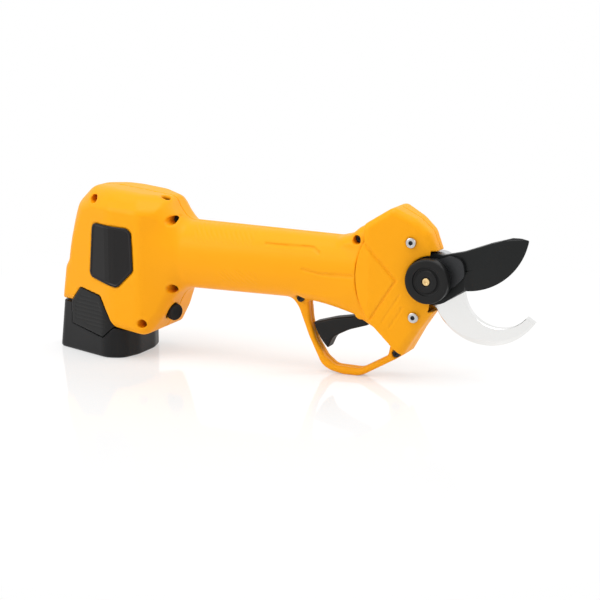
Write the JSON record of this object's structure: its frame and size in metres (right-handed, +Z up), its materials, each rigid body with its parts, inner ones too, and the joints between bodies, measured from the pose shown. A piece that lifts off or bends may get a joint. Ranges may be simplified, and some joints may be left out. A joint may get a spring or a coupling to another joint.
{
  "type": "battery electric pruner",
  "caption": "Handheld battery electric pruner: bypass blade and hook on an orange head, tubular handle with trigger guard, upright rear battery housing.",
  "frame": {"origin": "Centre of the tool's box in plan, at the height of the flat surface that the battery pack's foot and the trigger guard stand on.", "axes": "+X along the handle towards the blade, +Z up, -Y the tool's right-hand side."},
  "size_m": [0.3095, 0.0561, 0.1051],
  "materials": {
    "orange_shell": "satin, faintly pebbled",
    "dark_screw": "black oxide",
    "steel": "machined",
    "badge_plastic": "gloss",
    "frame_aluminium": "cast, machined faces",
    "polished_steel": "bright, ground",
    "coated_blade": "dark non-stick coating",
    "black_plastic": "fine texture",
    "dark_steel": "phosphated",
    "brass": "turned",
    "copper_winding": "lacquered wire",
    "button_rubber": "soft matt",
    "board_green": "solder mask",
    "sleeve_blue": "shrunk sleeve",
    "light_red": "clear lens"
  },
  "bodies": {
    "body": {"right_body_shell": "orange_shell", "left_body_shell": "orange_shell", "body_screw_1": "dark_screw", "body_screw_2": "dark_screw", "body_screw_3": "dark_screw", "body_screw_4": "dark_screw", "body_screw_5": "dark_screw", "body_screw_6": "dark_screw", "body_screw_7": "dark_screw", "badge": "badge_plastic", "right_head_cover": "orange_shell", "left_head_cover": "orange_shell", "head_screw_1": "steel", "head_screw_2": "steel", "head_frame": "frame_aluminium", "hook_screw_1": "dark_screw", "hook_screw_2": "dark_screw", "counter_blade": "polished_steel", "pivot_nut": "black_plastic", "pivot_bolt": "dark_steel", "cap_screw": "brass", "thrust_washer": "steel", "pinion_bearing_1": "steel", "pinion_bearing_2": "steel", "ring_gear": "steel", "motor_can": "dark_steel", "motor_stator": "copper_winding", "motor_end_cap": "black_plastic", "trigger_pin": "steel", "trigger_spring": "steel", "trigger_switch": "black_plastic", "power_switch": "black_plastic", "control_board": "board_green", "board_capacitor": "sleeve_blue", "contact_block": "black_plastic", "status_light": "light_red"},
    "jaw": {"moving_blade": "coated_blade", "drive_gear": "dark_steel"},
    "pinion": {"bevel_pinion": "steel", "output_carrier": "steel"},
    "sun_carrier": {"first_carrier": "steel"},
    "rotor": {"motor_rotor": "steel"},
    "trigger_lever": {"trigger": "black_plastic"},
    "button": {"power_button": "button_rubber"},
    "battery": {"battery_case": "black_plastic", "battery_lid": "black_plastic", "cell_1": "sleeve_blue", "cell_2": "sleeve_blue", "cell_3": "sleeve_blue", "battery_board": "board_green"},
    "latch_right": {"right_latch": "black_plastic"},
    "latch_left": {"left_latch": "black_plastic"},
    "planet_11": {"planet_1_1": "steel"},
    "planet_12": {"planet_1_2": "steel"},
    "planet_13": {"planet_1_3": "steel"},
    "planet_21": {"planet_2_1": "steel"},
    "planet_22": {"planet_2_2": "steel"},
    "planet_23": {"planet_2_3": "steel"}
  },
  "joints": [
    {"name": "blade_swing", "type": "hinge", "parent": "body", "child": "jaw", "pos_m": [0.0946, 0, 0.0628], "axis": [0, 1, 0], "range_deg": [0, 44]},
    {"name": "pinion_spin", "type": "hinge", "parent": "body", "child": "pinion", "pos_m": [0, 0, 0.0628], "axis": [1, 0, 0], "range_deg": [-222, 2]},
    {"name": "sun_carrier_spin", "type": "hinge", "parent": "body", "child": "sun_carrier", "pos_m": [0, 0, 0.0628], "axis": [1, 0, 0], "range_deg": [-995, 5]},
    {"name": "rotor_spin", "type": "hinge", "parent": "body", "child": "rotor", "pos_m": [0, 0, 0.0628], "axis": [1, 0, 0], "range_deg": [-4465, 10]},
    {"name": "planet_1_1_spin", "type": "hinge", "parent": "sun_carrier", "child": "planet_11", "pos_m": [0, 0.00756, 0.0628], "axis": [1, 0, 0], "range_deg": [-5, 2777]},
    {"name": "planet_1_2_spin", "type": "hinge", "parent": "sun_carrier", "child": "planet_12", "pos_m": [0, -0.00378, 0.06935], "axis": [1, 0, 0], "range_deg": [-5, 2777]},
    {"name": "planet_1_3_spin", "type": "hinge", "parent": "sun_carrier", "child": "planet_13", "pos_m": [0, -0.00378, 0.05625], "axis": [1, 0, 0], "range_deg": [-5, 2777]},
    {"name": "planet_2_1_spin", "type": "hinge", "parent": "pinion", "child": "planet_21", "pos_m": [0, 0.00756, 0.0628], "axis": [1, 0, 0], "range_deg": [-5, 621]},
    {"name": "planet_2_2_spin", "type": "hinge", "parent": "pinion", "child": "planet_22", "pos_m": [0, -0.00378, 0.06935], "axis": [1, 0, 0], "range_deg": [-5, 621]},
    {"name": "planet_2_3_spin", "type": "hinge", "parent": "pinion", "child": "planet_23", "pos_m": [0, -0.00378, 0.05625], "axis": [1, 0, 0], "range_deg": [-5, 621]},
    {"name": "trigger_pull", "type": "hinge", "parent": "body", "child": "trigger_lever", "pos_m": [0.0536, 0, 0.0406], "axis": [0, 1, 0], "range_deg": [0, 8], "stiffness_Nm_per_rad": 0.15, "springref_deg": -17.19},
    {"name": "power_press", "type": "slide", "parent": "body", "child": "button", "axis": [-0.9016, 0.4208, 0.1002], "range_m": [0, 0.0012], "stiffness_N_per_m": 300, "springref_m": -0.001},
    {"name": "battery_slide", "type": "slide", "parent": "body", "child": "battery", "axis": [0, 0, -1], "range_m": [0, 0.08]},
    {"name": "latch_right_press", "type": "hinge", "parent": "battery", "child": "latch_right", "pos_m": [-0.125, -0.0209, 0.0145], "axis": [-0.9333, 0.3591, 0], "range_deg": [0, 2.6], "stiffness_Nm_per_rad": 0.5, "springref_deg": -5.73},
    {"name": "latch_left_press", "type": "hinge", "parent": "battery", "child": "latch_left", "pos_m": [-0.125, 0.0209, 0.0145], "axis": [0.9333, 0.3591, 0], "range_deg": [0, 2.6], "stiffness_Nm_per_rad": 0.5, "springref_deg": -5.73}
  ],
  "couplings": [
    {"joint": "pinion_spin", "follows": "blade_swing", "ratio": -5},
    {"joint": "sun_carrier_spin", "follows": "blade_swing", "ratio": -22.5},
    {"joint": "rotor_spin", "follows": "blade_swing", "ratio": -101.25},
    {"joint": "planet_1_1_spin", "follows": "blade_swing", "ratio": 63},
    {"joint": "planet_1_2_spin", "follows": "blade_swing", "ratio": 63},
    {"joint": "planet_1_3_spin", "follows": "blade_swing", "ratio": 63},
    {"joint": "planet_2_1_spin", "follows": "blade_swing", "ratio": 14},
    {"joint": "planet_2_2_spin", "follows": "blade_swing", "ratio": 14},
    {"joint": "planet_2_3_spin", "follows": "blade_swing", "ratio": 14}
  ]
}
